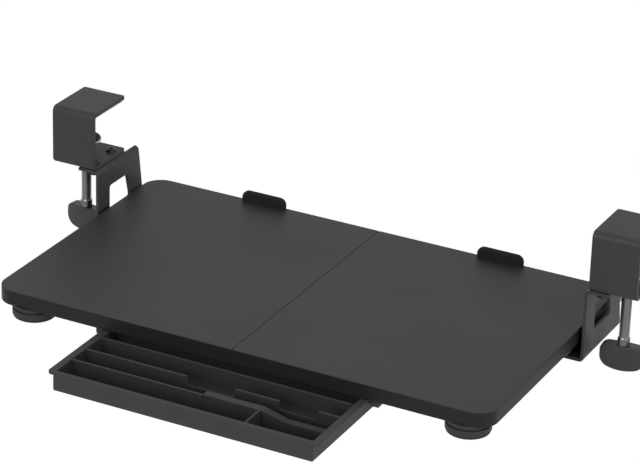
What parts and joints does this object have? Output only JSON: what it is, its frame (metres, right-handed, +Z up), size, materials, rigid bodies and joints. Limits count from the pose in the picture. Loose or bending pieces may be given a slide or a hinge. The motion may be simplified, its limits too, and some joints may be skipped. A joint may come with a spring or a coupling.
{
  "type": "clamp-on keyboard tray",
  "caption": "Keyboard tray that clamps to a desk's front edge, slides out on ball-bearing slides and carries a shallow pencil drawer under its split board.",
  "frame": {"origin": "on the desk's top face at its front edge, midway between the clamps", "axes": "+X to the right as seen from the user's seat, +Y towards the back of the desk, +Z up"},
  "size_m": [0.6208, 0.4225, 0.1443],
  "materials": {
    "board": "dark grey laminate, satin",
    "dowel_wood": "plain beech",
    "clamp_paint": "dark grey powder coat, satin",
    "pad": "pale foam rubber",
    "screw_steel": "zinc-plated thread, satin",
    "knob": "dark grey moulding",
    "disc_steel": "zinc plated",
    "disc_rubber": "black rubber",
    "slide_zinc": "zinc-plated sheet",
    "cage_steel": "bright sheet",
    "ball_steel": "polished",
    "black_fastener": "black oxide",
    "zinc_fastener": "zinc plated",
    "plate_steel": "black powder coat",
    "stop_plastic": "black moulding",
    "foot_plastic": "dark grey moulding",
    "sole_rubber": "dark rubber",
    "rail_plastic": "dark grey moulding",
    "drawer_plastic": "dark grey moulding, fine texture"
  },
  "bodies": {
    "root": {"left_clamp_frame": "clamp_paint", "left_clamp_pad": "pad", "left_hanger_bracket": "clamp_paint", "left_slide_channel": "slide_zinc", "right_clamp_frame": "clamp_paint", "right_clamp_pad": "pad", "right_hanger_bracket": "clamp_paint", "right_slide_channel": "slide_zinc", "bracket_bolts": "black_fastener", "bracket_nuts": "black_fastener", "slide_studs": "zinc_fastener", "slide_nuts": "zinc_fastener"},
    "tray": {"left_board": "board", "left_tray_rail": "slide_zinc", "left_stop": "stop_plastic", "left_foot": "foot_plastic", "left_foot_sole": "sole_rubber", "left_drawer_rail": "rail_plastic", "right_board": "board", "right_tray_rail": "slide_zinc", "right_stop": "stop_plastic", "right_foot": "foot_plastic", "right_foot_sole": "sole_rubber", "right_drawer_rail": "rail_plastic", "joining_plates": "plate_steel", "joining_plate_screws": "black_fastener", "seam_dowels": "dowel_wood", "tray_rail_screws": "black_fastener", "stop_screws": "black_fastener", "foot_screws": "black_fastener", "drawer_rail_screws": "black_fastener"},
    "drawer": {"drawer": "drawer_plastic"},
    "left_cage": {"left_ball_cage": "cage_steel", "left_slide_balls": "ball_steel"},
    "left_press": {"left_pressure_disc": "disc_steel", "left_disc_face": "disc_rubber"},
    "left_screw": {"left_clamp_screw": "screw_steel", "left_knob": "knob"},
    "right_cage": {"right_ball_cage": "cage_steel", "right_slide_balls": "ball_steel"},
    "right_press": {"right_pressure_disc": "disc_steel", "right_disc_face": "disc_rubber"},
    "right_screw": {"right_clamp_screw": "screw_steel", "right_knob": "knob"}
  },
  "joints": [
    {"name": "tray_slide", "type": "slide", "parent": "root", "child": "tray", "axis": [0, 1, 0], "range_m": [0, 0.154]},
    {"name": "drawer_slide", "type": "slide", "parent": "tray", "child": "drawer", "axis": [0, 1, 0], "range_m": [-0.05, 0.093]},
    {"name": "left_cage_slide", "type": "slide", "parent": "root", "child": "left_cage", "axis": [0, 1, 0], "range_m": [0, 0.077]},
    {"name": "right_cage_slide", "type": "slide", "parent": "root", "child": "right_cage", "axis": [0, 1, 0], "range_m": [0, 0.077]},
    {"name": "left_press_lift", "type": "slide", "parent": "root", "child": "left_press", "axis": [0, 0, 1], "range_m": [-0.0075, 0.031]},
    {"name": "left_screw_turn", "type": "hinge", "parent": "left_press", "child": "left_screw", "pos_m": [-0.2887, 0.026, -0.1133], "axis": [0, 0, 1], "range_deg": [-1800.5, 7440.5]},
    {"name": "right_press_lift", "type": "slide", "parent": "root", "child": "right_press", "axis": [0, 0, 1], "range_m": [-0.0015, 0.037]},
    {"name": "right_screw_turn", "type": "hinge", "parent": "right_press", "child": "right_screw", "pos_m": [0.2887, 0.026, -0.1133], "axis": [0, 0, 1], "range_deg": [-360.5, 8880.5]}
  ],
  "couplings": [
    {"joint": "left_cage_slide", "follows": "tray_slide", "ratio": 0.5},
    {"joint": "right_cage_slide", "follows": "tray_slide", "ratio": 0.5},
    {"joint": "left_screw_turn", "follows": "left_press_lift", "rad_per_m": 4188.8},
    {"joint": "right_screw_turn", "follows": "right_press_lift", "rad_per_m": 4188.8}
  ]
}
